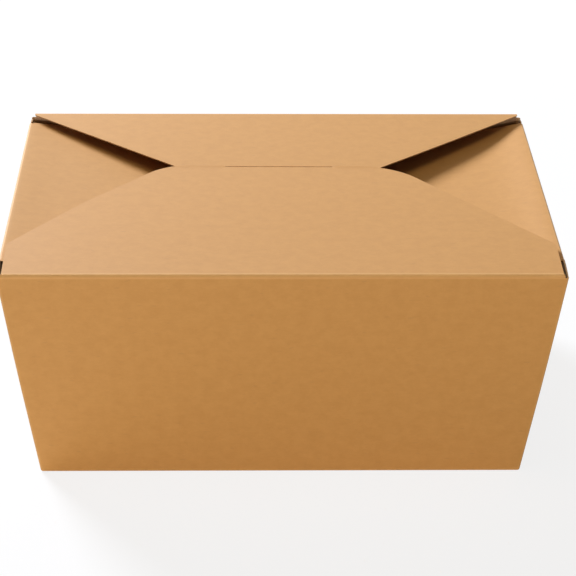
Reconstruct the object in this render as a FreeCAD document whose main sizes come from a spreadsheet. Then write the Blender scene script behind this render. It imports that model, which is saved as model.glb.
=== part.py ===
import FreeCAD, Part
import math
import os
import re
import Sketcher

# Folded food box of brown paperboard. Millimetres, +Z up, origin at the centre of the base.
# X runs along the length, -Y is the front, and the front flap closes over the back one.

dimensions = [
    ("base_length", 197.0),
    ("base_width", 140.0),
    ("rim_length", 222.0),
    ("rim_width", 165.0),
    ("box_height", 96.0),
    ("board", 0.45),
    ("fold_radius", 1.0),
    ("web_start", 2.0),
    ("web_top_gap", 2.4),
    ("flap_side_gap", 1.6),
    ("corner_trim", 1.2),
    ("side_fold_drop", 2.0),
    ("side_flap_reach", 72.0),
    ("side_flap_slope", 4.0),
    ("side_flap_front_gap", 15.0),
    ("side_flap_back_gap", 6.5),
    ("side_flap_tip_radius", 12.0),
    ("back_flap_side", 1.2),
    ("back_flap_corner_radius", 1.6),
    ("back_shoulder_half", 42.8),
    ("back_flap_overlap", 23.0),
    ("back_flap_end_half", 30.0),
    ("back_flap_end_radius", 10.0),
    ("front_flap_reach", 102.8),
    ("front_flap_side", 26.5),
    ("front_flap_corner_radius", 5.0),
    ("front_shoulder_half", 49.0),
    ("front_shoulder_radius", 20.0),
    ("front_flap_tilt", 0.35),
    ("hinge_gap", 0.15),
    ("hinge_lift", 0.15),
    ("tongue_width", 46.0),
    ("tongue_depth", 15.0),
    ("tongue_bend_radius", 1.0),
    ("tongue_tip_radius", 8.0),
    ("slit_clearance", 0.35),
    ("slit_back_gap", 0.75),
    ("slit_end_clearance", 0.5),
]

doc = FreeCAD.newDocument("takeaway_box")
sheet = doc.addObject("Spreadsheet::Sheet", "Sizes")
for row, (name, value) in enumerate(dimensions, start=1):
    sheet.set(f"A{row}", name)
    sheet.set(f"B{row}", str(value))
    sheet.setAlias(f"B{row}", name)
doc.recompute()

aliases = {name for name, _ in dimensions}

# How far the walls lean outwards from upright.
end_lean = "atan((rim_length - base_length) / 2 / box_height)"
long_lean = "atan((rim_width - base_width) / 2 / box_height)"

# Two layers of folded corner web lie on the outside of each end wall.
web_stack = "2 * board"

# Distance from a rim's sharp corner to where its rounded fold turns flat.
rim_bend_run = f"fold_radius / tan((90 deg - {long_lean}) / 2)"

flap_half = "(rim_length / 2 - flap_side_gap)"
fold_line_y = f"(rim_width / 2 - {rim_bend_run})"
hinge_y = f"(-{fold_line_y} + hinge_gap)"
seam_y = f"({hinge_y} + front_flap_reach)"
side_fold_z = "(box_height - side_fold_drop)"
side_fold_x = f"(base_length / 2 + {side_fold_z} * tan({end_lean}))"
side_flap_front_y = "(side_flap_front_gap - rim_width / 2)"
side_flap_back_y = "(rim_width / 2 - side_flap_back_gap)"
side_flap_foot_z = f"({side_fold_z} - 3 * fold_radius)"


def formula(text):
    """Point each size named in a formula at its cell of the sheet."""
    return re.sub(r"[a-z_]+", lambda w: f"Sizes.{w[0]}" if w[0] in aliases else w[0], text)


def number(text):
    result = sheet.evalExpression(formula(text))
    return float(getattr(result, "Value", result))


def bind(feature, prop, text):
    feature.setExpression(prop, formula(text))


def new_body(label):
    body = doc.addObject("PartDesign::Body", label)
    body.Label = label
    return body


def new_sketch(body, name, plane, offset="0", tilt=None, tilt_axis=1):
    """A sketch on an origin plane of its body, moved along the normal and tilted about local X."""
    origin_plane = [f for f in body.Origin.OriginFeatures if f.Role == plane][0]
    sketch = body.newObject("Sketcher::SketchObject", name)
    sketch.AttachmentSupport = [(origin_plane, "")]
    sketch.MapMode = "FlatFace"
    if tilt:
        turn = FreeCAD.Rotation(FreeCAD.Vector(tilt_axis, 0, 0), number(tilt))
        sketch.AttachmentOffset = FreeCAD.Placement(FreeCAD.Vector(0, 0, 0), turn)
        bind(sketch, "AttachmentOffset.Rotation.Angle", tilt)
    bind(sketch, "AttachmentOffset.Base.z", offset)
    return sketch


def drive(sketch, constraint, name, text):
    index = sketch.addConstraint(constraint)
    sketch.renameConstraint(index, name)
    bind(sketch, f"Constraints.{name}", text)


def place_point(sketch, geometry, end, name, x, y):
    """Fix one point of a sketch by its distances from the sketch's origin."""
    across = Sketcher.Constraint("DistanceX", -1, 1, geometry, end, number(x))
    up = Sketcher.Constraint("DistanceY", -1, 1, geometry, end, number(y))
    drive(sketch, across, f"{name}_x", x)
    drive(sketch, up, f"{name}_y", y)


def draw_polygon(sketch, name, corners):
    """A closed outline of straight lines through corners given as pairs of formulas."""
    points = [FreeCAD.Vector(number(x), number(y), 0) for x, y in corners]
    following = points[1:] + points[:1]
    lines = [sketch.addGeometry(Part.LineSegment(a, b)) for a, b in zip(points, following)]
    for index, line in enumerate(lines):
        sketch.addConstraint(Sketcher.Constraint("Coincident", lines[index - 1], 2, line, 1))
        x, y = corners[index]
        place_point(sketch, line, 1, f"{name}{index}", x, y)


def corner_arc(previous, corner, following, radius):
    """The arc of a radius that rounds a corner between two straight lines."""
    inward = (previous - corner).normalize()
    onward = (following - corner).normalize()
    half_angle = inward.getAngle(onward) / 2
    bisector = (inward + onward).normalize()
    centre = corner + bisector * (radius / math.sin(half_angle))
    run = radius / math.tan(half_angle)
    ends = [corner + inward * run, corner + onward * run]
    middle = centre - bisector * radius
    return Part.Arc(ends[0], middle, ends[1])


def arc_ends_along(sketch, arc, previous):
    """Which end of a drawn arc comes first along its outline, and which last."""
    to_start = sketch.getPoint(arc, 1).distanceToPoint(previous)
    to_end = sketch.getPoint(arc, 2).distanceToPoint(previous)
    return (1, 2) if to_start < to_end else (2, 1)


def draw_rounded_outline(sketch, name, corners):
    """A closed outline through corners given as formulas (x, y, radius), a radius of None being sharp."""
    points = [FreeCAD.Vector(number(x), number(y), 0) for x, y, _ in corners]
    following = points[1:] + points[:1]
    lines = [sketch.addGeometry(Part.LineSegment(a, b)) for a, b in zip(points, following)]
    for index, (x, y, radius) in enumerate(corners):
        before = lines[index - 1]
        after = lines[index]
        if radius is None:
            sketch.addConstraint(Sketcher.Constraint("Coincident", before, 2, after, 1))
            place_point(sketch, after, 1, f"{name}{index}", x, y)
            continue
        arc = sketch.addGeometry(corner_arc(points[index - 1], points[index], following[index], number(radius)))
        corner = sketch.addGeometry(Part.Point(points[index]), True)
        place_point(sketch, corner, 1, f"{name}{index}", x, y)
        sketch.addConstraint(Sketcher.Constraint("PointOnObject", corner, 1, before))
        sketch.addConstraint(Sketcher.Constraint("PointOnObject", corner, 1, after))
        first, last = arc_ends_along(sketch, arc, points[index - 1])
        sketch.addConstraint(Sketcher.Constraint("Tangent", before, 2, arc, first))
        sketch.addConstraint(Sketcher.Constraint("Tangent", arc, last, after, 1))
        rounding = Sketcher.Constraint("Radius", arc, number(radius))
        drive(sketch, rounding, f"{name}{index}_radius", radius)


def mirrored_outline(right_side):
    """Corners of an outline that is the same left and right, from its right half."""
    left_side = [(f"-({x})", y) for x, y in reversed(right_side)]
    return right_side + left_side


def frustum(body, name, low, high):
    """A block with level, oblong ends, each given as formulas (height, half length, half width)."""
    xz_plane = [f for f in body.Origin.OriginFeatures if f.Role == "XZ_Plane"][0]
    feature = body.newObject("PartDesign::AdditiveWedge", name)
    feature.AttachmentSupport = [(xz_plane, "")]
    feature.MapMode = "FlatFace"
    bind(feature, "Ymin", low[0])
    bind(feature, "Ymax", high[0])
    for axis, place in (("X", 1), ("Z", 2)):
        bind(feature, f"{axis}min", f"-{low[place]}")
        bind(feature, f"{axis}max", low[place])
        bind(feature, f"{axis}2min", f"-{high[place]}")
        bind(feature, f"{axis}2max", high[place])
    doc.recompute()
    return feature


def pad(body, name, sketch, length, reverse=False, both_ways=False):
    feature = body.newObject("PartDesign::Pad", name)
    feature.Profile = sketch
    feature.Reversed = reverse
    if both_ways:
        feature.SideType = "Symmetric"
    bind(feature, "Length", length)
    doc.recompute()
    return feature


def pocket(body, name, sketch, depth, reverse=False):
    """Cut a sketch's outline into the body, and make sure that it took something away."""
    before = body.Shape.Volume
    feature = body.newObject("PartDesign::Pocket", name)
    feature.Profile = sketch
    feature.Reversed = reverse
    bind(feature, "Length", depth)
    doc.recompute()
    if feature.Shape.Volume >= before:
        raise RuntimeError(f"{name} cuts nothing")
    return feature


def round_edges(body, name, radius, chosen):
    """Round each edge of the body's last feature whose middle point is chosen."""
    base = body.Tip
    edges = []
    for index, edge in enumerate(base.Shape.Edges, start=1):
        low, high = edge.ParameterRange
        if chosen(edge, edge.valueAt((low + high) / 2)):
            edges.append(f"Edge{index}")
    feature = body.newObject("PartDesign::Fillet", name)
    feature.Base = (base, edges)
    bind(feature, "Radius", radius)
    doc.recompute()
    return feature


def near(a, b):
    return abs(a - b) < 0.01


def upright_at(places):
    """Chooses short edges through a level sheet, over points given as pairs of formulas."""
    points = [(number(x), number(y)) for x, y in places]

    def chosen(edge, middle):
        is_upright = edge.BoundBox.XLength < 0.01 and edge.BoundBox.YLength < 0.01
        return is_upright and any(near(middle.x, x) and near(middle.y, y) for x, y in points)

    return chosen


def any_edge(edge, middle):
    return True


def food_space():
    """The hollow of the closed box, as a block to cut away from the outer one."""
    body = new_body("food_space")
    ends = []
    for z in ("board", "(box_height - board)"):
        inner_x = f"(base_length / 2 + {z} * tan({end_lean}) - board / cos({end_lean}))"
        inner_y = f"(base_width / 2 + {z} * tan({long_lean}) - board / cos({long_lean}))"
        ends.append((z, inner_x, inner_y))
    frustum(body, "inner_block", *ends)
    round_edges(body, "inner_folds", "fold_radius - board", any_edge)
    return body


def wall_shell(body):
    """The outer block of the closed box, hollowed to one thickness of board."""
    base = ("0", "(base_length / 2)", "(base_width / 2)")
    rim = ("box_height", f"(rim_length / 2 + {web_stack})", "(rim_width / 2)")
    frustum(body, "outer_block", base, rim)
    round_edges(body, "outer_folds", "fold_radius", any_edge)
    hollow = body.newObject("PartDesign::Boolean", "hollow")
    hollow.Type = "Cut"
    hollow.setObjects([food_space()])
    doc.recompute()


def open_top(body):
    """Cut the top sheet away around the back flap, and cut the slit in that flap."""
    top = new_sketch(body, "top_opening", "XY_Plane", "box_height")
    right_side = [
        (flap_half, f"-{fold_line_y}"),
        (flap_half, f"{fold_line_y} - back_flap_side"),
        ("back_shoulder_half", seam_y),
        ("back_flap_end_half", f"{seam_y} - back_flap_overlap"),
    ]
    draw_polygon(top, "flap", mirrored_outline(right_side))

    slit_half = "(tongue_width / 2 + slit_end_clearance)"
    slit_front = f"({seam_y} - board - slit_clearance)"
    slit_back = f"({seam_y} + slit_back_gap)"
    slit = mirrored_outline([(slit_half, slit_front), (slit_half, slit_back)])
    draw_polygon(top, "slit", slit)
    pocket(body, "cut_top", top, "board")


def lower_rim(body):
    """Trim the front and back folds beyond the flaps, and drop the end walls to their folds."""
    beyond = "(rim_length / 2 + 2 * fold_radius)"
    corner_y = "(rim_width / 2 - fold_radius)"
    cuts = [
        ("trim_folds", "-rim_width", "rim_width", "corner_trim"),
        ("drop_end_walls", f"-{corner_y}", corner_y, "side_fold_drop"),
        ("seat_side_flaps", side_flap_front_y, side_flap_back_y, f"box_height - {side_flap_foot_z}"),
    ]
    for name, front_y, back_y, depth in cuts:
        sketch = new_sketch(body, f"{name}_outline", "XY_Plane", "box_height")
        for side, label in ((1, "right"), (-1, "left")):
            inner_x = f"{side} * {flap_half}"
            outer_x = f"{side} * {beyond}"
            strip = [(inner_x, front_y), (outer_x, front_y), (outer_x, back_y), (inner_x, back_y)]
            draw_polygon(sketch, label, strip)
        pocket(body, name, sketch, depth)


def bare_end_wall(body, side, label):
    """Leave the two folded webs standing on one end wall, and bare the wall between them."""
    lean = f"{side} * {end_lean}"
    window = new_sketch(body, f"{label}_web_window", "YZ_Plane", f"{side} * base_length / 2", lean)
    slant = f"cos({end_lean})"
    corner_lean = f"atan((rim_width - base_width) / 2 / (box_height / {slant}))"
    front_corner_lean = f"atan((rim_length - base_length) / 2 / (box_height / cos({long_lean})))"
    web_angle = f"(45 deg - ({corner_lean} + {front_corner_lean}) / 2)"
    web_lean = f"({web_angle} - {corner_lean})"
    foot_v = f"(web_start / {slant})"
    foot_u = f"(base_width / 2)"
    top_v = f"((box_height - side_fold_drop - web_top_gap) / {slant})"
    top_u = f"({foot_u} - ({top_v} - {foot_v}) * tan({web_lean}))"
    band_u = "(rim_width / 2 - fold_radius)"
    right_side = [
        (foot_u, "-fold_radius"),
        (foot_u, foot_v),
        (top_u, top_v),
        (band_u, top_v),
        (band_u, f"{top_v} + rim_width"),
    ]
    draw_polygon(window, "window", mirrored_outline(right_side))
    pocket(body, f"bare_{label}_wall", window, "rim_width", reverse=side > 0)


def side_flap(body, side, label):
    """One side flap, folded in over the food from the top of its end wall."""
    profile = new_sketch(body, f"{label}_flap_profile", "XZ_Plane", f"-{side_flap_back_y}")
    slope = "side_flap_slope * 1 deg"
    half_corner = f"((90 deg - {end_lean} - {slope}) / 2)"
    foot_x = f"(base_length / 2 + {side_flap_foot_z} * tan({end_lean}))"
    inner_run = f"board / tan({half_corner})"
    tip_x = f"({side_fold_x} - side_flap_reach * cos({slope}))"
    tip_z = f"({side_fold_z} - side_flap_reach * sin({slope}))"
    fold_inner_x = f"({side_fold_x} - {inner_run} * cos({slope}) + board * sin({slope}))"
    fold_inner_z = f"({side_fold_z} - {inner_run} * sin({slope}) - board * cos({slope}))"
    corners = [
        (foot_x, side_flap_foot_z, None),
        (side_fold_x, side_fold_z, "fold_radius"),
        (tip_x, tip_z, None),
        (f"({tip_x} + board * sin({slope}))", f"({tip_z} - board * cos({slope}))", None),
        (fold_inner_x, fold_inner_z, "(fold_radius - board)"),
        (f"({foot_x} - board / cos({end_lean}))", side_flap_foot_z, None),
    ]
    draw_rounded_outline(profile, "section", [(f"{side} * {x}", z, radius) for x, z, radius in corners])
    pad(body, f"{label}_side_flap", profile, f"{side_flap_back_y} - {side_flap_front_y}")

    sheet_thickness = number("board")
    end_x = side * number(tip_x)
    round_edges(
        body, f"{label}_flap_corners", "side_flap_tip_radius",
        lambda e, m: near(e.Length, sheet_thickness) and abs(m.x - end_x) < sheet_thickness,
    )


def round_back_flap(body):
    slant_start = f"{fold_line_y} - back_flap_side"
    end_y = f"{seam_y} - back_flap_overlap"
    outer = mirrored_outline([(flap_half, slant_start)])
    end = mirrored_outline([("back_flap_end_half", end_y)])
    round_edges(body, "back_flap_corners", "back_flap_corner_radius", upright_at(outer))
    round_edges(body, "back_flap_end_corners", "back_flap_end_radius", upright_at(end))


def carton():
    """Base, walls, corner webs, side flaps and back flap: one sheet, folded."""
    body = new_body("carton")
    wall_shell(body)
    open_top(body)
    lower_rim(body)
    for side, label in ((1, "right"), (-1, "left")):
        bare_end_wall(body, side, label)
    for side, label in ((1, "right"), (-1, "left")):
        side_flap(body, side, label)
    round_back_flap(body)
    return body


def draw_tongue_section(sketch):
    """The bend at the front flap's edge, and a tongue that follows a circle about the hinge line."""
    bend_y = "(front_flap_reach - tongue_bend_radius)"
    bend_z = "-tongue_bend_radius"
    y = number(bend_y)
    z = number(bend_z)
    reach = number("front_flap_reach")
    board = number("board")
    radius = number("tongue_bend_radius")
    tip_z = -number("tongue_depth")
    normal = FreeCAD.Vector(0, 0, 1)
    centre = FreeCAD.Vector(y, z, 0)
    hinge = FreeCAD.Vector(0, 0, 0)

    def bend(bend_radius):
        return Part.ArcOfCircle(Part.Circle(centre, normal, bend_radius), 0, math.pi / 2)

    def leaf(start_y):
        leaf_radius = math.hypot(start_y, z)
        circle = Part.Circle(hinge, normal, leaf_radius)
        return Part.ArcOfCircle(circle, math.asin(tip_z / leaf_radius), math.asin(z / leaf_radius))

    outer_bend = sketch.addGeometry(bend(radius))
    inner_bend = sketch.addGeometry(bend(radius - board))
    outer_leaf = sketch.addGeometry(leaf(reach))
    inner_leaf = sketch.addGeometry(leaf(reach - board))
    tip = sketch.addGeometry(Part.LineSegment(sketch.getPoint(outer_leaf, 1), sketch.getPoint(inner_leaf, 1)))
    root = sketch.addGeometry(Part.LineSegment(sketch.getPoint(inner_bend, 2), sketch.getPoint(outer_bend, 2)))
    joined = [
        (outer_bend, 1, outer_leaf, 2),
        (outer_leaf, 1, tip, 1),
        (tip, 2, inner_leaf, 1),
        (inner_leaf, 2, inner_bend, 1),
        (inner_bend, 2, root, 1),
        (root, 2, outer_bend, 2),
    ]
    for ends in joined:
        sketch.addConstraint(Sketcher.Constraint("Coincident", *ends))
    for arc in (outer_leaf, inner_leaf):
        sketch.addConstraint(Sketcher.Constraint("Coincident", arc, 3, -1, 1))
    sketch.addConstraint(Sketcher.Constraint("Horizontal", tip))
    place_point(sketch, outer_bend, 3, "bend_centre", bend_y, bend_z)
    sketch.addConstraint(Sketcher.Constraint("Coincident", inner_bend, 3, outer_bend, 3))
    sketch.addConstraint(Sketcher.Constraint("Vertical", root))
    for arc, start in ((outer_bend, "front_flap_reach"), (inner_bend, "front_flap_reach - board")):
        name = "outer" if arc == outer_bend else "inner"
        place_point(sketch, arc, 1, f"{name}_start", start, bend_z)
    sketch.addConstraint(Sketcher.Constraint("Vertical", outer_bend, 3, outer_bend, 2))
    depth = Sketcher.Constraint("DistanceY", -1, 1, tip, 1, tip_z)
    drive(sketch, depth, "tip_depth", "-tongue_depth")


def front_flap():
    """The closing flap with its tongue, laid out from its hinge line and set on the front fold."""
    body = new_body("front_flap")
    outline = new_sketch(body, "flap_outline", "XY_Plane")
    notch_y = "(front_flap_reach - tongue_bend_radius)"
    right_side = [
        (flap_half, "0"),
        (flap_half, "front_flap_side"),
        ("front_shoulder_half", "front_flap_reach"),
        ("tongue_width / 2", "front_flap_reach"),
        ("tongue_width / 2", notch_y),
    ]
    draw_polygon(outline, "flap", mirrored_outline(right_side))
    pad(body, "flap_sheet", outline, "board", reverse=True)

    section = new_sketch(body, "tongue_section", "YZ_Plane")
    draw_tongue_section(section)
    pad(body, "tongue", section, "tongue_width", both_ways=True)

    corners = mirrored_outline([(flap_half, "front_flap_side")])
    shoulders = mirrored_outline([("front_shoulder_half", "front_flap_reach")])
    round_edges(body, "flap_corners", "front_flap_corner_radius", upright_at(corners))
    round_edges(body, "flap_shoulders", "front_shoulder_radius", upright_at(shoulders))
    margin = "tongue_tip_radius"
    waste = new_sketch(body, "tongue_corner_waste", "XZ_Plane", f"-(front_flap_reach + {margin})")
    tongue_half = "(tongue_width / 2)"
    root_z = "-2 * tongue_bend_radius"
    beyond_x = f"({tongue_half} + {margin})"
    beyond_z = f"-(tongue_depth + {margin})"
    right_side = [
        (beyond_x, beyond_z, None),
        (beyond_x, root_z, None),
        (tongue_half, root_z, None),
        (tongue_half, "-tongue_depth", "tongue_tip_radius"),
    ]
    left_side = [(f"-{x}", z, radius) for x, z, radius in reversed(right_side)]
    draw_rounded_outline(waste, "waste", right_side + left_side)
    pocket(body, "round_tongue", waste, f"2 * {margin}", reverse=True)

    tilt = FreeCAD.Rotation(FreeCAD.Vector(1, 0, 0), number("front_flap_tilt"))
    body.Placement = FreeCAD.Placement(FreeCAD.Vector(0, 0, 0), tilt)
    bind(body, "Placement.Base.y", hinge_y)
    bind(body, "Placement.Base.z", "box_height + hinge_lift")
    bind(body, "Placement.Rotation.Angle", "front_flap_tilt")
    return body


parts = [carton(), front_flap()]
doc.recompute()

for item in doc.Objects:
    if {"Invalid", "Error"} & set(item.State):
        raise RuntimeError(f"{item.Label} did not rebuild: {item.State}")

os.makedirs("parts", exist_ok=True)
for part in parts:
    if part.Shape.isNull() or not part.Shape.isValid():
        raise RuntimeError(f"{part.Label} is not a valid solid")
    part.Shape.exportStep(f"parts/{part.Label}.step")
    box = part.Shape.BoundBox
    print(part.Label, len(part.Shape.Solids), round(part.Shape.Volume, 1), box)
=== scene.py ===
from math import atan, copysign, cos, exp, pi, radians, sin, tan

import bmesh
import bpy
from mathutils import Matrix, Vector


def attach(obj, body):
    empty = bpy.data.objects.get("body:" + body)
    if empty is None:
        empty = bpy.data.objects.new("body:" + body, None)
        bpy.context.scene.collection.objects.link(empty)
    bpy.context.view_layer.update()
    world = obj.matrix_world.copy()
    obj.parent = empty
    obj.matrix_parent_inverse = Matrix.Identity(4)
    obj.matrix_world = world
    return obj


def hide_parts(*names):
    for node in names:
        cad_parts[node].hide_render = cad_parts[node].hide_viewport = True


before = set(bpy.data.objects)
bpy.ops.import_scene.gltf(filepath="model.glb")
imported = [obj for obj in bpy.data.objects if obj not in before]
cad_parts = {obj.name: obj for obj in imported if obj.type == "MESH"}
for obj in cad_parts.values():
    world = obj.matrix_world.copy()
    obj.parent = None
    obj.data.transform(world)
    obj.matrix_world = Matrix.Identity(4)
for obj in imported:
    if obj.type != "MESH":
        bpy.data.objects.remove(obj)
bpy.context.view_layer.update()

scene = bpy.context.scene
mm = 0.001

# every length of the box is in millimetres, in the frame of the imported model
box = {
    "baseLength": 197.0,
    "baseWidth": 140.0,
    "rimLength": 222.0,
    "rimWidth": 165.0,
    "height": 96.0,
    "board": 0.45,
    "foldRadius": 1.0,
    "foldBack": 1.1386,         # a rim fold starts to turn this far from the sharp corner
    "foldSteps": 9,
    "innerCorner": 0.55,        # a corner's inner radius, as a share of the outer one
}
lean = atan((box["rimWidth"] - box["baseWidth"]) / 2 / box["height"])

# how creased the board is: 0 on a plain face, 1 on the tightest fold
# a crease is coloured lighter, partly as fibre wear and partly as painted highlight
creaseMark = {
    "wallTop": 0.4,
    "arc": 0.88,
    "corner": 0.85,
    "webEdge": 0.7,
    "fade": 2.5,                # a fold's mark fades over this length
    "tongueFade": 3.0,
}


def fading(away):
    return max(0.0, 1 - away / creaseMark["fade"])


# camera, matched to the photograph
camera = {
    "place": (-16.832, -828.419, 466.084),
    "yaw": -1.43529,
    "down": 26.70607,
    "roll": 0.61561,
    "lens": 134.715,
    "sensor": 36,
}


def addCamera():
    yaw, down, roll = (radians(camera[key]) for key in ("yaw", "down", "roll"))
    ahead = Vector((-sin(yaw) * cos(down), cos(yaw) * cos(down), -sin(down)))
    level = Vector((cos(yaw), sin(yaw), 0))
    above = level.cross(ahead)
    right = level * cos(roll) + above * sin(roll)
    up = above * cos(roll) - level * sin(roll)
    data = bpy.data.cameras.new("photoCamera")
    data.lens = camera["lens"]
    data.sensor_width = camera["sensor"]
    made = bpy.data.objects.new("photoCamera", data)
    made.matrix_world = Matrix((
        (right.x, up.x, -ahead.x, camera["place"][0] * mm),
        (right.y, up.y, -ahead.y, camera["place"][1] * mm),
        (right.z, up.z, -ahead.z, camera["place"][2] * mm),
        (0, 0, 0, 1),
    ))
    scene.collection.objects.link(made)
    scene.camera = made


addCamera()
print("camera placed")


# board sheets: each point is (outer face, inner face, how near a fold it is)
sheetBuild = {
    "weldSteps": 1000,          # points that fall on the same step of a millimetre are one
    "weldOffset": 0.37,
    "sharpAngle": 35,
    "flatFrom": 0.6,            # a face whose normal points up this much counts as flat
}


def newSheet():
    return {"index": {}, "points": [], "faces": []}


def sheetPoint(sheet, point):
    outer, inner, _ = point
    steps, offset = sheetBuild["weldSteps"], sheetBuild["weldOffset"]
    key = tuple(round(c * steps + offset) for c in (*outer, *inner))
    if key not in sheet["index"]:
        sheet["index"][key] = len(sheet["points"])
        sheet["points"].append(point)
    return sheet["index"][key]


def addRows(sheet, rows, isHole=None):
    ids = [[sheetPoint(sheet, point) for point in row] for row in rows]
    for j in range(len(ids) - 1):
        for i in range(len(ids[j]) - 1):
            if isHole and isHole(i, j):
                continue
            corners = (ids[j][i], ids[j][i + 1], ids[j + 1][i + 1], ids[j + 1][i])
            face = [c for k, c in enumerate(corners) if c != corners[k - 1]]
            if len(face) > 2 and len(set(face)) == len(face):
                sheet["faces"].append(face)


def addCap(sheet, row):
    ids = [sheetPoint(sheet, point) for point in row]
    sheet["faces"].append([c for k, c in enumerate(ids) if c != ids[k - 1]])


# the plane that the fibres lie in: they run along X on the long panels, up the end walls
def grainPlace(normal, place):
    if abs(normal.z) > sheetBuild["flatFrom"]:
        return place.x, place.y
    if abs(normal.y) > abs(normal.x):
        return place.x, place.z
    return place.z, place.y


def buildSheet(sheet, name, materials):
    mesh = bmesh.new()
    foldLayer = mesh.verts.layers.float.new("fold")
    outer, inner = [], []
    for top, under, fold in sheet["points"]:
        for place, side in ((top, outer), (under, inner)):
            vertex = mesh.verts.new(place * mm)
            vertex[foldLayer] = fold
            side.append(vertex)
    uses = {}
    for face in sheet["faces"]:
        mesh.faces.new([outer[i] for i in face]).material_index = 0
        mesh.faces.new([inner[i] for i in reversed(face)]).material_index = 1
        for k, b in enumerate(face):
            edge = (face[k - 1], b)
            uses.setdefault(tuple(sorted(edge)), []).append(edge)
    # an edge with one face is a cut edge, and gets a wall of its own
    for found in uses.values():
        if len(found) == 1:
            a, b = found[0]
            mesh.faces.new((outer[b], outer[a], inner[a], inner[b])).material_index = 2
    bmesh.ops.recalc_face_normals(mesh, faces=mesh.faces)
    for edge in mesh.edges:
        if len(edge.link_faces) == 2:
            edge.smooth = edge.calc_face_angle() < radians(sheetBuild["sharpAngle"])
    grain = mesh.loops.layers.uv.new("grain")
    for face in mesh.faces:
        face.smooth = True
        for loop in face.loops:
            loop[grain].uv = grainPlace(face.normal, loop.vert.co)
    data = bpy.data.meshes.new(name)
    mesh.to_mesh(data)
    mesh.free()
    for material in materials:
        data.materials.append(material)
    made = bpy.data.objects.new(name, data)
    scene.collection.objects.link(made)
    return made


# a fold in a cross-section: straight to the corner, round it, and on to the end
def foldedPath(start, corner, end, stations=()):
    radius, steps = box["foldRadius"], box["foldSteps"]
    start, corner, end = (Vector((*p, 0)) for p in (start, corner, end))
    before, after = (corner - start).normalized(), (end - corner).normalized()
    turn = before.angle(after)
    side = copysign(1, before.cross(after).z)
    back = radius * tan(turn / 2)
    inward = Vector((-before.y, before.x, 0)) * side
    centre = corner - before * back + inward * radius
    path = [(start, inward, creaseMark["wallTop"])]
    for k in range(steps + 1):
        way = Matrix.Rotation(side * turn * k / steps, 3, "Z") @ -inward
        path.append((centre + way * radius, -way, creaseMark["arc"]))
    inward = -(Matrix.Rotation(side * turn, 3, "Z") @ -inward)
    for far in stations:
        if far > back + 0.01:
            path.append((corner + after * far, inward, fading(far - back)))
    return path


def roundedOutline(points, radii, steps=8):
    outline = []
    for k, (point, radius) in enumerate(zip(points, radii)):
        here = Vector(point)
        if not radius:
            outline.append(here)
            continue
        before = (Vector(points[k - 1]) - here).normalized()
        after = (Vector(points[k + 1]) - here).normalized()
        half = before.angle(after) / 2
        centre = here + (before + after).normalized() * radius / sin(half)
        first = here + before * radius / tan(half) - centre
        sweep = copysign(pi - 2 * half, before.x * after.y - before.y * after.x)
        for s in range(steps + 1):
            outline.append(centre + Matrix.Rotation(-sweep * s / steps, 2) @ first)
    return outline


def widthAt(outline, far):
    tiny = 1e-6
    for (w0, y0), (w1, y1) in zip(outline, outline[1:]):
        if min(y0, y1) - tiny <= far <= max(y0, y1) + tiny and abs(y1 - y0) > tiny:
            return w0 + (w1 - w0) * (far - y0) / (y1 - y0)
    return outline[-1][0]


# tray: base, four walls, and the doubled corner webs on the end walls
tray = {
    "longInner": 23.5,          # half of the middle block of columns, which the slit spans
    "longMiddleColumns": 18,
    "longSideColumns": 28,
    "innerLimit": 0.9,          # the middle block takes at most this share of a narrow row
    "foldedEnd": 109.4,         # half-length of the folds to the two long flaps
    "endColumns": 12,
    "webColumns": 16,
    "besideWeb": 0.995,         # a column close beside a web keeps its edge crisp
    "webEdge": ((0.02, 0.55), (0.12, 0.2), (0.35, 0.0)),    # (across, depth left) of the edge
    "webFoot": 2.0,
    "webFootInset": 0.6,
    "webGap": 0.5,              # least flat width of a web beside the corner
    "webTop": 92.4,
    "webTopHalf": 17.2,
    "webLayers": 0.9,
    "webPinch": 0.8,            # the side flaps' folds press the webs' tops flatter
    "pinchFrom": 40.0,
    "cornerMiddle": 93.2,
    "cornerTop": 94.8,
    "cornerFoot": 0.12,         # the corners' radius where they meet the base
    "floorPull": (0.96, 0.95, 1),   # the base's flat part, as a share of its outline
    "wallRows": 30,
    "foldSteps": 7,
    "cornerSteps": 6,
    "longBow": 0.22,
    "endBow": 0.15,
    "endFlare": 0.7,            # the end walls lean out a little more towards their tops
    "flareFrom": 55.0,
    "flareFlat": 8,             # the higher, the closer to the corners the flare runs
    "endInnerSpan": 0.999,
    "baredLift": 0.03,
}
sideFlap = {
    "front": -65.0,
    "back": 77.5,
    "fold": 94.0,
    "foldOut": 1.2,             # the fold stands out over the webs' tops
    "reach": 72.0,
    "rows": 22,
    "slope": 4.0,
    "tipRadius": 12.0,
    "tipRows": 9,
    "sag": {-1: 0.6, 1: 2.5},   # left and right flap dip a little just inside their folds
    "sagFrom": 1.3,
    "sagWithin": 11.0,
    "sagPower": 1.5,
    "curl": 0.4,
    "wallTop": 94.4,            # top of the short pieces of end wall beside the flap
    "wallTopOut": -0.1,
    "wallMiddleShare": 0.6,
}


def wallHalfWidth(z):
    return (box["baseWidth"] + (box["rimWidth"] - box["baseWidth"]) * z / box["height"]) / 2


def wallLevel(z):
    radius = box["foldRadius"]
    return {
        "z": z,
        "inset": 0.0,
        "thick": (box["board"] * cos(lean), box["board"] * sin(lean)),
        "corner": radius,
        "fold": max(fading(z - radius), fading(box["height"] - radius - z)),
    }


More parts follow.
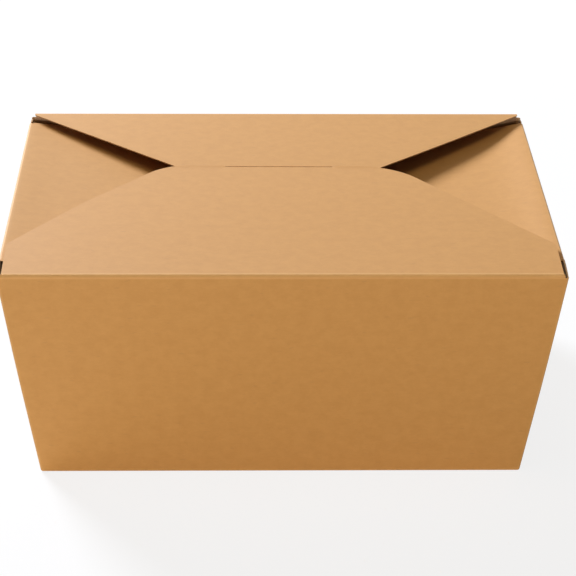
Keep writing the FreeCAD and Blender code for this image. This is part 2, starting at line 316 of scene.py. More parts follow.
def trayLevels():
    radius, turn, foot = box["foldRadius"], pi / 2 - lean, tray["cornerFoot"]
    levels = []
    for k in range(tray["foldSteps"] + 1):
        phi = turn * k / tray["foldSteps"]
        z = radius * (1 - cos(phi))
        levels.append({
            "z": z,
            "inset": z * tan(lean) + radius * tan(turn / 2) - radius * sin(phi),
            "thick": (box["board"] * sin(phi), box["board"] * cos(phi)),
            "corner": foot + (1 - foot) * sin(phi) / sin(turn),
            "fold": creaseMark["corner"],
        })
    first = levels[-1]["z"]
    for k in range(1, tray["wallRows"] + 1):
        levels.append(wallLevel(first + (tray["webTop"] - first) * k / tray["wallRows"]))
    return levels


# half-length without and with the webs, half-width, and the height of the inner face
def halves(level):
    z, share = level["z"], level["z"] / box["height"] / 2
    grow = box["rimLength"] - box["baseLength"]
    bare = box["baseLength"] / 2 + grow * share - level["inset"]
    climb = (z - tray["pinchFrom"]) / (tray["webTop"] - tray["pinchFrom"])
    pinch = 1 - tray["webPinch"] * min(max(climb, 0), 1)
    web = bare + tray["webLayers"] * 2 * share * pinch
    spread = box["rimWidth"] - box["baseWidth"]
    wide = box["baseWidth"] / 2 + spread * share - level["inset"]
    return bare, web, wide, z + level["thick"][1]


# s is -1 to 1 in the middle block of columns and runs on to -2 and 2 at the limits
def longPlace(s, limit, middle):
    beyond = max(abs(s) - 1, 0)
    return copysign(middle * min(abs(s), 1) + beyond * (limit - middle), s)


def longPoint(s, level):
    bare, web, wide, innerZ = halves(level)
    radius, thick = level["corner"], level["thick"][0]
    x = longPlace(s, web - radius, tray["longInner"])
    xIn = longPlace(s, bare - thick - radius * box["innerCorner"], tray["longInner"])
    bow = tray["longBow"] * cos(x / web * pi / 2) * sin(pi * level["z"] / box["height"])
    near = max(level["fold"], fading(web - abs(x)))
    outer = Vector((x, -wide - bow, level["z"]))
    return outer, Vector((xIn, -wide - bow + thick, innerZ)), near


def cornerPoint(turn, level):
    bare, web, wide, innerZ = halves(level)
    radius, thick = level["corner"], level["thick"][0]
    small = radius * box["innerCorner"]
    x = web - radius + radius * sin(turn)
    y = -(wide - radius + radius * cos(turn))
    xIn = bare - thick - small + small * sin(turn)
    yIn = -(wide - thick - small + small * cos(turn))
    return Vector((x, y, level["z"])), Vector((xIn, yIn, innerZ)), creaseMark["corner"]


# an end wall's columns as (t, shift, depth): t is 1 at a web's folded edge, 2 at the corner
def endColumns():
    inside = [k * 2 / tray["endColumns"] - 1 for k in range(tray["endColumns"] + 1)]
    inside = sorted(inside + [-tray["besideWeb"], tray["besideWeb"]])
    middle = [(t, 0.0, 1.0) for t in inside]
    across = tray["webEdge"][-1][0]
    webFlat = wallHalfWidth(tray["webTop"]) - box["foldRadius"] - tray["webTopHalf"] - across
    shares = [k / tray["webColumns"] for k in range(1, tray["webColumns"] + 1)]
    for flapSide in (-sideFlap["front"], sideFlap["back"]):
        shares.append((flapSide - tray["webTopHalf"] - across) / webFlat)
    edge = [(1.0, shift, depth) for shift, depth in tray["webEdge"]]
    edge += [(1 + share, across, 0.0) for share in sorted(shares)]
    return [(-t, -shift, depth) for t, shift, depth in reversed(edge)] + middle + edge


def endPoint(column, level, bared=False):
    t, shift, depth = column
    bare, web, wide, innerZ = halves(level)
    limit = min(wide, wallHalfWidth(tray["webTop"])) - level["corner"]
    climb = (level["z"] - tray["webFoot"]) / (tray["webTop"] - tray["webFoot"])
    foot = box["baseWidth"] / 2 - tray["webFootInset"]
    diagonal = foot + (tray["webTopHalf"] - foot) * min(max(climb, 0), 1)
    diagonal = min(diagonal, limit - tray["webGap"])
    start = diagonal + abs(shift)
    beyond = start + (abs(t) - 1) * (limit - start)
    y = copysign(beyond if abs(t) >= 1 else diagonal * abs(t), t)
    upper = (level["z"] - tray["flareFrom"]) / (tray["webTop"] - tray["flareFrom"])
    flare = tray["endFlare"] * max(0.0, upper) ** 2
    bow = tray["endBow"] * cos(y / wide * pi / 2) * sin(pi * level["z"] / box["height"])
    bow += flare * (1 - min(abs(y) / wide, 1) ** tray["flareFlat"])
    x = web - (web - bare) * (1.0 if bared else depth) + bow
    edge = creaseMark["webEdge"] if depth < 1 and abs(t) == 1 else 0
    near = max(level["fold"], edge, fading(wide - abs(y)))
    rise = tray["baredLift"] if bared else 0
    inner = Vector((bare - level["thick"][0] + bow, y * tray["endInnerSpan"], innerZ + rise))
    return Vector((x, y, level["z"])), inner, near


def mirrored(point, x=1, y=1):
    outer, inner, fold = point
    flip = Vector((x, y, 1))
    return outer * flip, inner * flip, fold


def spreadColumns(side):
    count = tray["longMiddleColumns"]
    middle = [k * 2 / count - 1 for k in range(count + 1)]
    return [-s for s in reversed(side)] + middle + side


def sideColumns():
    count = tray["longSideColumns"]
    return [1 + k / count for k in range(1, count + 1)]


# the share of a side block of columns at which the folds to the long flaps end
def foldedPart():
    rim = halves(wallLevel(tray["cornerTop"]))[1] - box["foldRadius"]
    return (tray["foldedEnd"] - tray["longInner"]) / (rim - tray["longInner"])


foldedShare = foldedPart()
longSide = spreadColumns(sorted(sideColumns() + [1 + foldedShare]))
endSide = endColumns()
cornerTurns = [pi / 2 * k / tray["cornerSteps"] for k in range(tray["cornerSteps"] + 1)]


def ringRow(level):
    half = [longPoint(s, level) for s in longSide]
    half += [cornerPoint(turn, level) for turn in cornerTurns]
    half += [endPoint(column, level) for column in endSide]
    half += [mirrored(cornerPoint(turn, level), y=-1) for turn in reversed(cornerTurns)]
    row = half + [mirrored(point, x=-1, y=-1) for point in half]
    return row + row[:1]


def addTray(sheet):
    rows = [ringRow(level) for level in trayLevels()]
    pull = Vector(tray["floorPull"])
    floorRow = [(outer * pull, inner * pull, 0.0) for outer, inner, _ in rows[0]]
    addRows(sheet, [floorRow] + rows)
    addCap(sheet, floorRow[:-1])
    # the front and back, with their rounded corners, run on above the webs
    tops = [wallLevel(tray[key]) for key in ("webTop", "cornerMiddle", "cornerTop")]
    for y in (1, -1):
        rows = []
        for level in tops:
            right = [cornerPoint(turn, level) for turn in cornerTurns]
            left = [mirrored(point, x=-1) for point in reversed(right)]
            row = left + [longPoint(s, level) for s in longSide] + right
            rows.append([mirrored(point, y=y) for point in row])
        addRows(sheet, rows)


# both top flaps lie a little higher at the left and lower at the right
topWarp = {
    "left": 0.35,
    "right": -0.35,
    "halfDepth": 81.4,          # the warp is gone this far from the middle
    "slant": 60.0,
    "slantFade": 160.0,
    "ripple": 0.12,
    "rippleAlong": 31,
    "rippleAcross": 23,
    "rippleShift": 0.7,
    "backRise": 0.7,
    "backAt": 82,
    "heldFrom": 21.6,           # the front flap keeps the warp that it has here
}


def topLift(x, y):
    v = topWarp
    inside = max(0.0, 1 - (y / v["halfDepth"]) ** 2)
    side = (v["left"] - v["right"]) / 2
    middle = (v["left"] + v["right"]) / 2
    ripple = v["ripple"] * sin(x / v["rippleAlong"] + v["rippleShift"])
    ripple *= cos(y / v["rippleAcross"])
    back = v["backRise"] * max(0.0, y / v["backAt"]) ** 2
    slant = side * x / v["slant"] * max(0.0, 1 - abs(x) / v["slantFade"])
    return back + inside * (middle - slant + ripple)


def flat(x, y):
    return 0.0


# fold along a long wall's top, with or without a flap beyond it
def longStrip(s, outerYz, innerYz, width, fold, sideways, warp):
    middle = min(tray["longInner"], tray["innerLimit"] * width)
    share = s if abs(s) <= 1 else copysign(1 + (abs(s) - 1) / foldedShare, s)
    x = longPlace(share, width, middle)
    rise = warp(x, outerYz[0] * sideways)
    outer = Vector((x, outerYz[0] * sideways, outerYz[1] + rise))
    return outer, Vector((x, innerYz[0] * sideways, innerYz[1] + rise)), fold


def addRimFold(sheet, sideways, stations=(), widths=None, warp=flat, isHole=None):
    columns = [s for s in longSide if abs(s) <= 1 + foldedShare + 1e-9]
    top = tray["cornerTop"]
    corner, end = (box["rimWidth"] / 2, box["height"]), (0, box["height"])
    rows = [[mirrored(longPoint(s, wallLevel(top)), y=-sideways) for s in columns]]
    path = foldedPath((wallHalfWidth(top), top), corner, end, stations)
    for place, inward, fold in path[1:]:
        under = place + inward * box["board"]
        width = widths(place.x) if widths else tray["foldedEnd"]
        rows.append([
            longStrip(s, (place.x, place.y), (under.x, under.y), width, fold, sideways, warp)
            for s in columns
        ])
    addRows(sheet, rows, isHole and (lambda i, j: isHole(columns, rows, i, j)))


backFlap = {
    "foldEndY": 83,             # the fold's end is drawn in a little
    "foldEndIn": 0.8,
    "foldStartY": 81.2,
    "side": 80.16,
    "sideRadius": 1.6,
    "shoulderHalf": 42.8,
    "shoulder": 21.59,
    "end": -1.41,
    "endHalf": 30.0,
    "endRadius": 10.0,
    "slitBack": 23.15,
    "slitFront": 20.79,
    "rowStep": 3.0,
    "rowMargin": 2.0,
    "slitMargin": 1.0,          # no plain row comes nearer to the slit
    "outlineTo": 81.1,
}


def addBackFlap(sheet):
    v, wide = backFlap, tray["foldedEnd"]
    outline = roundedOutline(
        ((wide - v["foldEndIn"], v["foldEndY"]), (wide, v["foldStartY"]), (wide, v["side"]),
         (v["shoulderHalf"], v["shoulder"]), (v["endHalf"], v["end"]), (0, v["end"])),
        (0, 0, v["sideRadius"], 0, v["endRadius"], 0),
    )
    slit = (v["slitBack"], v["slitFront"])
    steps, margin = int((v["side"] - v["end"]) / v["rowStep"]), v["rowMargin"]
    run = v["side"] - 2 * margin - v["end"]
    ys = [v["side"] - margin - run * k / steps for k in range(steps)]
    ys = [y for y in ys if min(abs(y - edge) for edge in slit) > v["slitMargin"]]
    ys += [point[1] for point in outline if v["end"] + 0.001 < point[1] < v["outlineTo"]]
    ys += [*slit, v["end"]]
    stations = sorted({round(box["rimWidth"] / 2 - y, 4) for y in ys})

    def inSlit(columns, rows, i, j):
        middleOfCell = (rows[j][i][0] + rows[j + 1][i + 1][0]) / 2
        inColumn = -1.001 < columns[i] and columns[i + 1] < 1.001
        return inColumn and v["slitFront"] < middleOfCell.y < v["slitBack"]

    addRimFold(sheet, 1, stations, lambda y: widthAt(outline, y), topLift, inSlit)


# side flaps, folded in under the two long flaps
def sideFlapPath(corner):
    v = sideFlap
    slope = radians(v["slope"])
    tip = (corner[0] - v["reach"] * cos(slope), corner[1] - v["reach"] * sin(slope))
    straight = v["reach"] - v["tipRadius"]
    stations = [straight * k / v["rows"] for k in range(1, v["rows"] + 1)]
    for k in range(1, v["tipRows"] + 1):
        stations.append(straight + v["tipRadius"] * sin(pi / 2 * k / v["tipRows"]))
    start = (corner[0] - tan(lean) * (v["fold"] - tray["webTop"]), tray["webTop"])
    return foldedPath(start, corner, tip, stations)[1:]


def sideFlapRow(x, across, far, place, inward, fold):
    v = sideFlap
    mid, half = (v["front"] + v["back"]) / 2, (v["back"] - v["front"]) / 2
    beyond = min(max(0.0, far - (v["reach"] - v["tipRadius"])), v["tipRadius"])
    shrink = v["tipRadius"] - (v["tipRadius"] ** 2 - beyond ** 2) ** 0.5
    away = max(0.0, far - v["sagFrom"])
    sag = v["sag"][x] * (1 - exp(-(away / v["sagWithin"]) ** v["sagPower"]))
    under = place + inward * box["board"]
    row = []
    for along in across:
        y = mid + (along - mid) * (half - shrink) / half
        dip = sag + v["curl"] * (far / v["reach"]) ** 2 * (1 - ((y - mid) / half) ** 2)
        outer, inner = Vector((place.x, y, place.y - dip)), Vector((under.x, y, under.y - dip))
        row.append(mirrored((outer, inner, fold), x=x))
    return row


# the short pieces of end wall beside a side flap stay upright
def addWallEnd(sheet, x, columns):
    v = sideFlap
    rows = []
    for z, share in ((tray["webTop"], 0), (tray["cornerMiddle"], v["wallMiddleShare"]),
                     (v["wallTop"], 1)):
        out = Vector((v["wallTopOut"] * share, 0, 0))
        row = [endPoint(column, wallLevel(z)) for column in columns]
        rows.append([mirrored((top + out, under + out, fold), x=x) for top, under, fold in row])
    addRows(sheet, rows)


def addSideFlaps(sheet):
    v = sideFlap
    corner = (halves(wallLevel(v["fold"]))[0] + v["foldOut"], v["fold"])
    path = sideFlapPath(corner)
    level = wallLevel(tray["webTop"])
    ringTop = [endPoint(column, level) for column in endSide]
    bare = [endPoint(column, level, bared=True) for column in endSide]
    ys = [point[0].y for point in ringTop]
    inFlap = [i for i, y in enumerate(ys) if v["front"] - 0.01 < y < v["back"] + 0.01]
    before = [endSide[i] for i, y in enumerate(ys) if y < v["front"] + 0.01]
    behind = [endSide[i] for i, y in enumerate(ys) if y > v["back"] - 0.01]
    for x in (1, -1):
        addRows(sheet, [[mirrored(row[i], x=x) for i in inFlap] for row in (ringTop, bare)])
        rows = [[mirrored(bare[i], x=x) for i in inFlap]]
        for place, inward, fold in path:
            far = (Vector((*corner, 0)) - place).length
            rows.append(sideFlapRow(x, [ys[i] for i in inFlap], far, place, inward, fold))
        addRows(sheet, rows)
        addWallEnd(sheet, x, before)
        addWallEnd(sheet, x, behind)


# front flap and its tongue
frontFlap = {
    "hingeY": -81.2114,
    "hingeZ": 96.15,
    "tilt": 0.35,
    "foldHalf": 109.0,
    "half": 109.4,
    "side": 26.5,
    "sideRadius": 5.0,
    "shoulderHalf": 49.0,
    "shoulderRadius": 20.0,
    "reach": 102.8,
    "rowStep": 3.0,
    "outlineSteps": 12,
    "edgeSwell": 2.2,           # the left edge is cut a little fuller than the right
    "swellRadius": 220,
    "rightRadius": 30.0,
    "endCurl": 0.2,             # beside the tongue the end curls up a little
    "curlFrom": 3.6,
    "curlRamp": 12,
    "startDrop": 0.13,
    "startStep": 0.03,
}
# the flap's outer face wraps round the fold, and is thin where it ends
lip = {
    "from": 35,
    "steps": 5,
    "edge": 0.012,
    "swell": 0.138,
    "power": 1.5,
    "sink": 0.03,
}
tongue = {
    "half": 23.0,
    "depth": 15.0,
    "bend": 1.0,
    "bendSteps": 7,
    "drops": [2.5, 4.0, 5.5],
    "tip": 8.0,
    "tipSteps": 8,
}


# far and down hold a value each for the outer and the inner face
def flapPoint(s, far, down, width, fold, middle=tongue["half"]):
    v = frontFlap
    tilt = radians(v["tilt"])
    x = longPlace(s, width, middle)
    beside = min(max(abs(s) - 1, 0) * v["curlRamp"], 1)
    curl = v["endCurl"] * beside
    curl *= max(0.0, 1 - (v["reach"] - far[0]) / v["curlFrom"]) ** 2

    def placed(away, drop):
        y = v["hingeY"] + away * cos(tilt) + drop * sin(tilt)
        z = v["hingeZ"] + away * sin(tilt) - drop * cos(tilt)
        return Vector((x, y, z + curl + topLift(x, min(y, topWarp["heldFrom"]))))

    return placed(far[0], down[0]), placed(far[1], down[1]), fold


def flapOutlines():
    v = frontFlap
    corner = Vector((v["half"], v["side"]))
    shoulder = Vector((v["shoulderHalf"], v["reach"]))
    along = (shoulder - corner).normalized()
    swell = (corner + shoulder) / 2 + Vector((along.y, -along.x)) * v["edgeSwell"]
    start, end = (v["foldHalf"], 0), (0, v["reach"])
    left = roundedOutline((start, corner, swell, shoulder, end),
                          (0, v["sideRadius"], v["swellRadius"], v["shoulderRadius"], 0),
                          v["outlineSteps"])
    right = roundedOutline((start, corner, shoulder, end),
                           (0, v["sideRadius"], v["rightRadius"], 0), v["outlineSteps"])
    return {-1: left, 1: right}


def lipRows(columns):
    v = lip
    centre = Vector((box["foldBack"] - box["rimWidth"] / 2, box["height"] - box["foldRadius"]))
    xs = [longPlace(s, frontFlap["foldHalf"], tongue["half"]) for s in columns]
    rows = []
    for k in range(v["steps"] + 1):
        share = k / v["steps"]
        angle = radians(v["from"] + (90 - v["from"]) * share)
        way = Vector((-cos(angle), sin(angle)))
        top = centre + way * (box["foldRadius"] + v["edge"] + v["swell"] * share ** v["power"])
        low = centre + way * (box["foldRadius"] - v["sink"])
        rows.append([(Vector((x, top.x, top.y)), Vector((x, low.x, low.y)), 1.0) for x in xs])
    return rows


# rows that turn down from the flap and then follow a circle about the hinge
def tongueRows(bendStart):
    v, reach, board = tongue, frontFlap["reach"], box["board"]
    rows = []
    small = v["bend"] - board
    for k in range(v["bendSteps"] + 1):
        turn = pi / 2 * k / v["bendSteps"]
        far = (bendStart + v["bend"] * sin(turn), bendStart + small * sin(turn))
        down = (v["bend"] * (1 - cos(turn)), v["bend"] - small * cos(turn))
        rows.append((far, down, v["half"], 1.0))
    drops = list(v["drops"])
    for k in range(v["tipSteps"] + 1):
        drops.append(v["depth"] - v["tip"] * (1 - sin(pi / 2 * k / v["tipSteps"])))
    for drop in drops:
        beyond = max(0.0, drop - v["depth"] + v["tip"])
        half = v["half"] - v["tip"] + (v["tip"] ** 2 - beyond ** 2) ** 0.5
        far = ((reach ** 2 - drop ** 2) ** 0.5, ((reach - board) ** 2 - drop ** 2) ** 0.5)
        fold = max(0.0, 1 - drop / creaseMark["tongueFade"])
        rows.append((far, (drop, drop), half, fold))
    return rows


def addFrontFlap(sheet):
    v, board = frontFlap, box["board"]
    outlines = flapOutlines()
    columns = spreadColumns(sideColumns())
    bendStart = v["reach"] - tongue["bend"]

    def panelRow(far, fold, columns):
        row = []
        for s in columns:
            width = widthAt(outlines[-1 if s < 0 else 1], far)
            row.append(flapPoint(s, (far, far), (0, board), width, fold))
        return row

    rows = lipRows(columns)
    step, half = v["startStep"], v["foldHalf"]
    rows.append([flapPoint(s, (0, 0), (0, v["startDrop"]), half, 1.0) for s in columns])
    rows.append([flapPoint(s, (step, step), (0, board), half, 1.0) for s in columns])
    steps = int(v["reach"] / v["rowStep"])
    fars = {round(bendStart * k / steps, 4) for k in range(1, steps + 1)}
    for outline in outlines.values():
        fars |= {round(point[1], 4) for point in outline if 0.1 < point[1] < bendStart}
    rows += [panelRow(far, fading(far), columns) for far in sorted(fars)]
    addRows(sheet, rows)
    # beside the tongue the flap runs on to its straight end
    for sign, outline in outlines.items():
        beside = [s for s in columns if s * sign > 0.999]
        last = {point[1] for point in outline if point[1] > bendStart}
        last = sorted(last | {bendStart, v["reach"]})
        addRows(sheet, [panelRow(far, 0.0, beside) for far in last])
    middle = [s for s in columns if abs(s) < 1.001]
    addRows(sheet, [
        [flapPoint(s, far, down, half, fold, half) for s in middle]
        for far, down, half, fold in tongueRows(bendStart)
    ])


# shader node groups that the board's materials share
fibreLook = {
    "fine": {"Detail": 4.0, "Roughness": 0.6, "Distortion": 0.4},
    "strands": {"Detail": 3.0, "Roughness": 0.55, "Distortion": 0.8},
    "clouds": {"Detail": 5.0, "Roughness": 0.7},
    "strandScale": 0.28,
    "fleckScale": 0.5,
    "fineShare": 0.55,
    "strandShare": 0.45,
    "fleckRange": (0.68, 0.76),
    "fleckHeight": 0.25,
}
creaseLook = {
    "noise": {"Detail": 4.0, "Roughness": 0.65},
    "tight": 8.0,               # the higher, the narrower a crease
    "wornRange": (0.42, 0.66),
}


def newGroup(name, inputs, outputs):
    group = bpy.data.node_groups.new(name, "ShaderNodeTree")
    for label, kind, value in inputs:
        socket = group.interface.new_socket(name=label, in_out="INPUT", socket_type=kind)
        if value is not None:
            socket.default_value = value
    for label in outputs:
        group.interface.new_socket(name=label, in_out="OUTPUT", socket_type="NodeSocketFloat")
    return group, group.nodes.new("NodeGroupInput"), group.nodes.new("NodeGroupOutput")


# sockets are given by name, or by number as n0, n1 and so on
def addNode(tree, kind, settings=None, **sockets):
    made = tree.nodes.new(kind)
    for key, value in (settings or {}).items():
        setattr(made, key, value)
    for key, value in sockets.items():
        numbered = key[0] == "n" and key[1:].isdigit()
        socket = made.inputs[int(key[1:]) if numbered else key]
        if isinstance(value, bpy.types.NodeSocket):
            tree.links.new(value, socket)
        else:
            socket.default_value = value
    return made


def mathNode(tree, operation, a, b=0.0, clamp=False):
    settings = {"operation": operation, "use_clamp": clamp}
    return addNode(tree, "ShaderNodeMath", settings, n0=a, n1=b).outputs[0]


def rangeNode(tree, value, span):
    made = addNode(tree, "ShaderNodeMapRange", Value=value)
    made.inputs["From Min"].default_value = span[0]
    made.inputs["From Max"].default_value = span[1]
    return made.outputs[0]


def noiseNode(tree, place, scale, look):
    return addNode(tree, "ShaderNodeTexNoise", Vector=place, Scale=scale, **look).outputs["Fac"]


def fibreGroup():
    look = fibreLook
    group, start, end = newGroup(
        "boardFibre",
        (("Vector", "NodeSocketVector", None), ("Fibre", "NodeSocketFloat", 1500.0),
         ("Stretch", "NodeSocketFloat", 0.2), ("Cloud", "NodeSocketFloat", 60.0)),
        ("Fibres", "Cloud", "Flecks", "Height"),
    )
    place, fibre = start.outputs["Vector"], start.outputs["Fibre"]
    stretch = addNode(group, "ShaderNodeCombineXYZ", X=start.outputs["Stretch"], Y=1.0, Z=1.0)
    along = addNode(group, "ShaderNodeVectorMath", {"operation": "MULTIPLY"},
                    n0=place, n1=stretch.outputs[0]).outputs[0]
    fine = noiseNode(group, along, fibre, look["fine"])
    strandScale = mathNode(group, "MULTIPLY", fibre, look["strandScale"])
    strands = noiseNode(group, along, strandScale, look["strands"])
    clouds = noiseNode(group, place, start.outputs["Cloud"], look["clouds"])
    fleckScale = mathNode(group, "MULTIPLY", fibre, look["fleckScale"])
    specks = noiseNode(group, along, fleckScale, {"Detail": 1.0})
    flecks = rangeNode(group, specks, look["fleckRange"])
    both = mathNode(group, "ADD", mathNode(group, "MULTIPLY", fine, look["fineShare"]),
                    mathNode(group, "MULTIPLY", strands, look["strandShare"]))
    raised = mathNode(group, "MULTIPLY", flecks, look["fleckHeight"])
    height = mathNode(group, "ADD", both, raised)
    found = {"Fibres": both, "Cloud": clouds, "Flecks": flecks, "Height": height}
    for label, value in found.items():
        group.links.new(value, end.inputs[label])
    return group


# fold masks: Wear is patchy fibre wear, Crease the whole fold, lit up as painted highlight
def creaseGroup():
    look = creaseLook
    group, start, end = newGroup(
        "creaseWearAndHighlight",
        (("Vector", "NodeSocketVector", None), ("Fold", "NodeSocketFloat", 0.0),
         ("Break", "NodeSocketFloat", 260.0)),
        ("Wear", "Crease"),
    )
    broken = noiseNode(group, start.outputs["Vector"], start.outputs["Break"], look["noise"])
    tight = mathNode(group, "POWER", start.outputs["Fold"], look["tight"], True)
    worn = rangeNode(group, broken, look["wornRange"])
    group.links.new(mathNode(group, "MULTIPLY", tight, worn, True), end.inputs["Wear"])
    group.links.new(tight, end.inputs["Crease"])
    return group


boardFibre = fibreGroup()
creaseWearAndHighlight = creaseGroup()


def mixColour(tree, share, a, b):
    made = addNode(tree, "ShaderNodeMix", {"data_type": "RGBA"})
    for socket, value in ((made.inputs[0], share), (made.inputs[6], a), (made.inputs[7], b)):
        if isinstance(value, bpy.types.NodeSocket):
            tree.links.new(value, socket)
        else:
            socket.default_value = value
    return made.outputs[2]


# kraft board: outside face, lined inside face, and the cut edge
# worn: the lighter fold tone, partly fibre wear and partly painted highlight
kraft = {
    "outside": {
        "light": (0.580, 0.278, 0.066, 1), "dark": (0.526, 0.244, 0.053, 1),
        "fleck": (0.36, 0.17, 0.05, 1), "worn": (0.74, 0.40, 0.13, 1),
        "fibre": 1400.0, "stretch": 0.3, "cloud": 190.0,
        "rough": 0.58, "specular": 0.32, "bump": 0.10,
    },
    "inside": {
        "light": (0.60, 0.335, 0.135, 1), "dark": (0.50, 0.262, 0.093, 1),
        "fleck": (0.33, 0.16, 0.06, 1), "worn": (0.62, 0.38, 0.18, 1),
        "fibre": 1100.0, "stretch": 0.3, "cloud": 160.0,
        "rough": 0.5, "specular": 0.5, "bump": 0.07,
    },
    "cutEdge": {
        "light": (0.54, 0.32, 0.14, 1), "dark": (0.36, 0.18, 0.065, 1),
        "fleck": (0.28, 0.13, 0.05, 1), "worn": (0.5, 0.3, 0.14, 1),
        "fibre": 2600.0, "stretch": 0.12, "cloud": 220.0,
        "rough": 0.85, "specular": 0.25, "bump": 0.25,
    },
}
# what the three faces have in common
finish = {
    "sheen": 0.25,
    "sheenRoughness": 0.45,
    "sheenTint": (1.0, 0.9, 0.7, 1),
    "fibreRange": (0.35, 0.65),
    "cloudRange": (0.38, 0.62),
    "fibreShare": 0.45,
    "cloudShare": 0.55,
    "fleckShare": 0.2,
    # at the folds: wearShare is patchy fibre wear, the crease share an even painted highlight
    "wearShare": 0.25,
    "creaseHighlightShare": 0.85,
    "roughSpan": 0.12,          # the fibres change the roughness by this much
    "creaseRough": 0.08,
    "bumpDepth": 0.0002,
}


def kraftMaterial(name, look):
    material = bpy.data.materials.new(name)
    material.use_nodes = True
    tree = material.node_tree
    shader = tree.nodes["Principled BSDF"]
    shader.inputs["Specular IOR Level"].default_value = look["specular"]
    shader.inputs["Sheen Weight"].default_value = finish["sheen"]
    shader.inputs["Sheen Roughness"].default_value = finish["sheenRoughness"]
    shader.inputs["Sheen Tint"].default_value = finish["sheenTint"]
    grain = addNode(tree, "ShaderNodeUVMap", {"uv_map": "grain"})
    fold = addNode(tree, "ShaderNodeAttribute", {"attribute_name": "fold"})
    fibre = addNode(tree, "ShaderNodeGroup", {"node_tree": boardFibre}, Vector=grain.outputs[0],
                    Fibre=look["fibre"], Stretch=look["stretch"], Cloud=look["cloud"])
    crease = addNode(tree, "ShaderNodeGroup", {"node_tree": creaseWearAndHighlight},
                     Vector=grain.outputs[0], Fold=fold.outputs["Fac"])

    def part(value, share):
        return mathNode(tree, "MULTIPLY", value, share)

    tone = rangeNode(tree, fibre.outputs["Fibres"], finish["fibreRange"])
    clouds = rangeNode(tree, fibre.outputs["Cloud"], finish["cloudRange"])
    share = mathNode(tree, "ADD", part(tone, finish["fibreShare"]),
                     part(clouds, finish["cloudShare"]))
    colour = mixColour(tree, share, look["dark"], look["light"])
    flecks = part(fibre.outputs["Flecks"], finish["fleckShare"])
    colour = mixColour(tree, flecks, colour, look["fleck"])
    # folds turn lighter: patchy fibre wear plus an even painted highlight that fills their shade
    worn = mathNode(tree, "ADD", part(crease.outputs["Wear"], finish["wearShare"]),
                    part(crease.outputs["Crease"], finish["creaseHighlightShare"]))
    colour = mixColour(tree, worn, colour, look["worn"])
    tree.links.new(colour, shader.inputs["Base Color"])
    rough = mathNode(tree, "ADD", look["rough"] - finish["roughSpan"] / 2,
                     part(fibre.outputs["Fibres"], finish["roughSpan"]))
    rough = mathNode(tree, "ADD", rough, part(crease.outputs["Crease"], finish["creaseRough"]))
    tree.links.new(rough, shader.inputs["Roughness"])
    bump = addNode(tree, "ShaderNodeBump", Strength=look["bump"], Distance=finish["bumpDepth"],
                   Height=fibre.outputs["Height"])
    tree.links.new(bump.outputs[0], shader.inputs["Normal"])
    return material


boardFaces = [
    kraftMaterial("kraftOutside", kraft["outside"]),
    kraftMaterial("kraftLinedInside", kraft["inside"]),
    kraftMaterial("kraftCutEdge", kraft["cutEdge"]),
]
print("board materials made")


# the two pieces
cartonSheet = newSheet()
addTray(cartonSheet)
addRimFold(cartonSheet, -1)
addBackFlap(cartonSheet)
addSideFlaps(cartonSheet)
carton = buildSheet(cartonSheet, "cartonBoard", boardFaces)
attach(carton, "carton")
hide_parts("carton")
print("carton folded:", len(carton.data.polygons), "faces")

flapSheet = newSheet()
addFrontFlap(flapSheet)
flapBoard = buildSheet(flapSheet, "frontFlapBoard", boardFaces)
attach(flapBoard, "front_flap")
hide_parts("front_flap")
print("front flap folded:", len(flapBoard.data.polygons), "faces")


# floor, backdrop and light, with lengths in metres
studio = {
    "floorSize": 12.0,
    "floorDrop": 0.00005,
    "floorColour": (0.86, 0.86, 0.86, 1),
    "floorRoughness": 0.9,
    "floorSpecular": 0.1,
    "floorShade": 0.17,         # how much of the real shading the white floor shows
    "sky": (1.0, 0.98, 0.95, 1),
    "skyStrength": 0.07,
    "lampTarget": (0, 0, 0.05),
}
keyLamp = {
    "name": "keyFromBack", "place": (-1.33, 1.83, 1.36), "size": 1.0,
    "power": 116.0, "colour": (0.95, 1.01, 1.13),
}
softLamp = {
    "name": "softFromAbove", "place": (0.0, -0.5, 2.2), "size": 1.4,
    "power": 10.0, "colour": (1.0, 0.9, 0.75),
}
fillLamp = {
    "name": "fillFromFront", "place": (-0.15, -2.3, 0.06), "size": 0.4,
    "power": 34.5, "colour": (1.0, 0.97, 1.0),
}


# 1 where the camera sees a surface, straight or in a reflection
def seenNode(tree):
    path = addNode(tree, "ShaderNodeLightPath")
    return mathNode(tree, "MAXIMUM", path.outputs["Is Camera Ray"], path.outputs["Is Glossy Ray"])


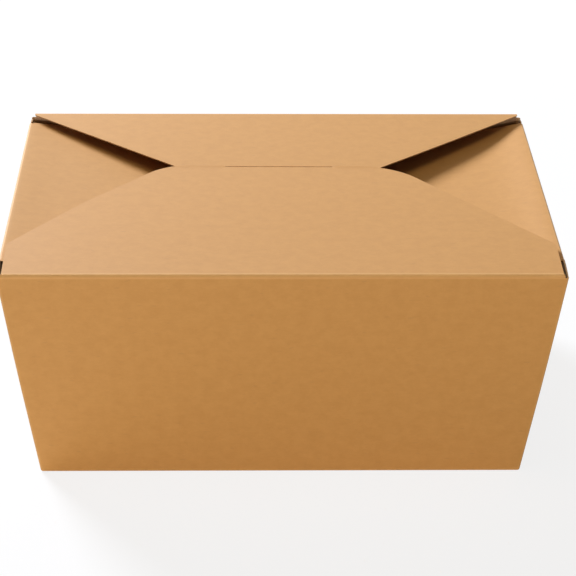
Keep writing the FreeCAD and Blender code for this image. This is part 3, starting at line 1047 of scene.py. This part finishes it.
def addFloor():
    mesh = bmesh.new()
    half = studio["floorSize"] / 2
    corners = ((-half, -half), (half, -half), (half, half), (-half, half))
    mesh.faces.new([mesh.verts.new((x, y, -studio["floorDrop"])) for x, y in corners])
    data = bpy.data.meshes.new("studioFloor")
    mesh.to_mesh(data)
    mesh.free()
    made = bpy.data.objects.new("studioFloor", data)
    scene.collection.objects.link(made)
    material = bpy.data.materials.new("whitePaperFloor")
    material.use_nodes = True
    tree = material.node_tree
    shader = tree.nodes["Principled BSDF"]
    shader.inputs["Roughness"].default_value = studio["floorRoughness"]
    shader.inputs["Specular IOR Level"].default_value = studio["floorSpecular"]
    shader.inputs["Base Color"].default_value = studio["floorColour"]
    glow = addNode(tree, "ShaderNodeEmission", Strength=1.0)
    share = mathNode(tree, "MULTIPLY", seenNode(tree), 1 - studio["floorShade"])
    mixed = addNode(tree, "ShaderNodeMixShader", n0=share, n1=shader.outputs[0],
                    n2=glow.outputs[0])
    tree.links.new(mixed.outputs[0], tree.nodes["Material Output"].inputs["Surface"])
    data.materials.append(material)


def addWorld():
    world = bpy.data.worlds.new("studioSky")
    scene.world = world
    world.use_nodes = True
    tree = world.node_tree
    tree.nodes.clear()
    sky = addNode(tree, "ShaderNodeBackground", Color=studio["sky"],
                  Strength=studio["skyStrength"])
    white = addNode(tree, "ShaderNodeBackground", Color=(1, 1, 1, 1), Strength=1.0)
    mixed = addNode(tree, "ShaderNodeMixShader", n0=seenNode(tree), n1=sky.outputs[0],
                    n2=white.outputs[0])
    end = addNode(tree, "ShaderNodeOutputWorld")
    tree.links.new(mixed.outputs[0], end.inputs["Surface"])


def addLamp(look):
    data = bpy.data.lights.new(look["name"], "AREA")
    data.shape = "DISK"
    data.size = look["size"]
    data.energy = look["power"]
    data.color = look["colour"]
    made = bpy.data.objects.new(look["name"], data)
    made.location = look["place"]
    toward = Vector(studio["lampTarget"]) - Vector(look["place"])
    made.rotation_euler = toward.to_track_quat("-Z", "Y").to_euler()
    scene.collection.objects.link(made)


addFloor()
addWorld()
for look in (keyLamp, softLamp, fillLamp):
    addLamp(look)
scene.view_settings.view_transform = "Standard"
print("studio lit")
